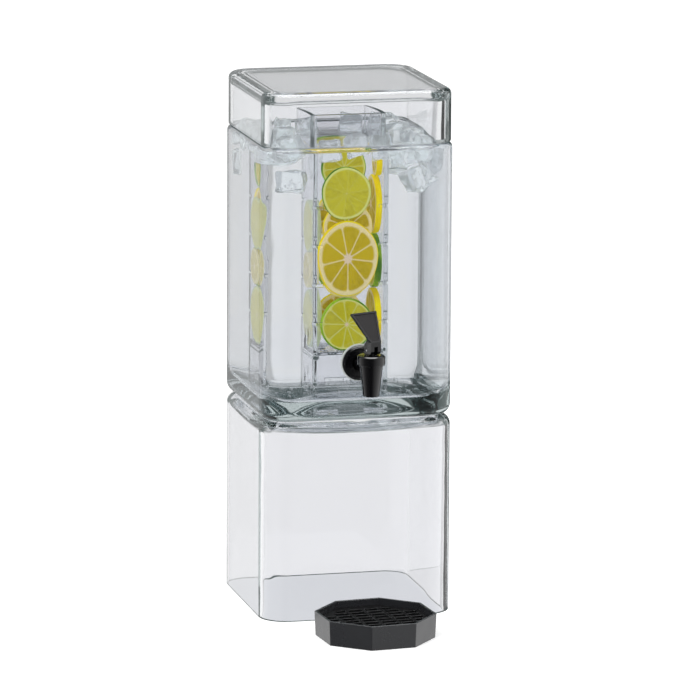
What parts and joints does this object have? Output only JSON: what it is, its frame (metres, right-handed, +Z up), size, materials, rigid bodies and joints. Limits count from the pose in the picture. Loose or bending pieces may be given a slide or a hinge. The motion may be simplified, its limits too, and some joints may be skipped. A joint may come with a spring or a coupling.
{
  "type": "infusion beverage dispenser",
  "caption": "Clear square drink dispenser on a clear stand: hollow lid, inner fruit infusion tube, black self-closing lever tap and an eight-sided drip tray with a lift-out grid.",
  "frame": {"origin": "middle of the footprint on the counter, under the dispenser and its drip tray", "axes": "+Z up, the tap and the drip tray towards -Y, +X to the right as seen from the front"},
  "size_m": [0.178, 0.2974, 0.483],
  "materials": {
    "clear_acrylic": "clear, polished, thick-walled",
    "black_nylon": "glossy moulded",
    "black_abs": "satin moulded",
    "silicone": "pale, matte",
    "steel": "bright wire",
    "lemon": "wet citrus flesh with yellow peel",
    "lime": "wet citrus flesh with green peel"
  },
  "bodies": {
    "stand": {"base": "clear_acrylic"},
    "tank": {"reservoir": "clear_acrylic", "tap_body": "black_nylon", "tap_bonnet": "black_nylon", "tap_flange_gasket": "silicone", "tap_inner_gasket": "silicone", "tap_nut": "black_nylon", "return_spring": "steel"},
    "lid": {"lid": "clear_acrylic"},
    "infuser": {"infusion_tube": "clear_acrylic", "fruit_shelf": "clear_acrylic", "lime_slice_front_1": "lime", "lemon_slice_front_2": "lemon", "lime_slice_front_3": "lime", "lime_slice_inner_1": "lime", "lemon_slice_inner_2": "lemon", "lemon_slice_inner_3": "lemon", "lemon_slice_right_1": "lemon", "lime_slice_right_2": "lime", "lemon_slice_right_3": "lemon", "lemon_slice_right_4": "lemon", "lime_slice_left_1": "lime", "lemon_slice_left_2": "lemon", "lime_slice_left_3": "lime", "lemon_slice_back_1": "lemon", "lime_slice_back_2": "lime", "lemon_slice_back_3": "lemon", "lime_slice_back_4": "lime"},
    "valve": {"seat_cup": "silicone"},
    "stem": {"tap_stem": "black_nylon", "handle_pin": "steel"},
    "handle": {"tap_handle": "black_nylon"},
    "tray": {"drip_tray": "black_abs"},
    "grid": {"drip_grid": "black_abs"}
  },
  "joints": [
    {"name": "tank_lift", "type": "slide", "parent": "stand", "child": "tank", "axis": [0, 0, 1], "range_m": [0, 0.15]},
    {"name": "lid_lift", "type": "slide", "parent": "tank", "child": "lid", "axis": [0, 0, 1], "range_m": [0, 0.52]},
    {"name": "infuser_lift", "type": "slide", "parent": "tank", "child": "infuser", "axis": [0, 0, 1], "range_m": [0, 0.26]},
    {"name": "stem_lift", "type": "slide", "parent": "tank", "child": "valve", "axis": [0, 0, 1], "range_m": [0, 0.003], "deforming": ["return_spring"]},
    {"name": "lever_swivel", "type": "hinge", "parent": "valve", "child": "stem", "pos_m": [-0.0025, -0.07529, 0.258], "axis": [0, 0, 1], "range_deg": [-110, 70]},
    {"name": "lever_tilt", "type": "hinge", "parent": "stem", "child": "handle", "pos_m": [-0.0025, -0.07529, 0.258], "axis": [0.9397, 0.342, 0], "range_deg": [0, 75], "stiffness_Nm_per_rad": 0.12, "springref_deg": -22.92},
    {"name": "tray_lift", "type": "slide", "parent": "stand", "child": "tray", "axis": [0, 0, 1], "range_m": [0, 0.12]},
    {"name": "grid_lift", "type": "slide", "parent": "tray", "child": "grid", "axis": [0, 0, 1], "range_m": [0, 0.05]}
  ],
  "couplings": [
    {"joint": "infuser_lift", "follows": "lid_lift", "ratio": 0.5},
    {"joint": "stem_lift", "follows": "lever_tilt", "m_per_rad": 0.0022915}
  ]
}
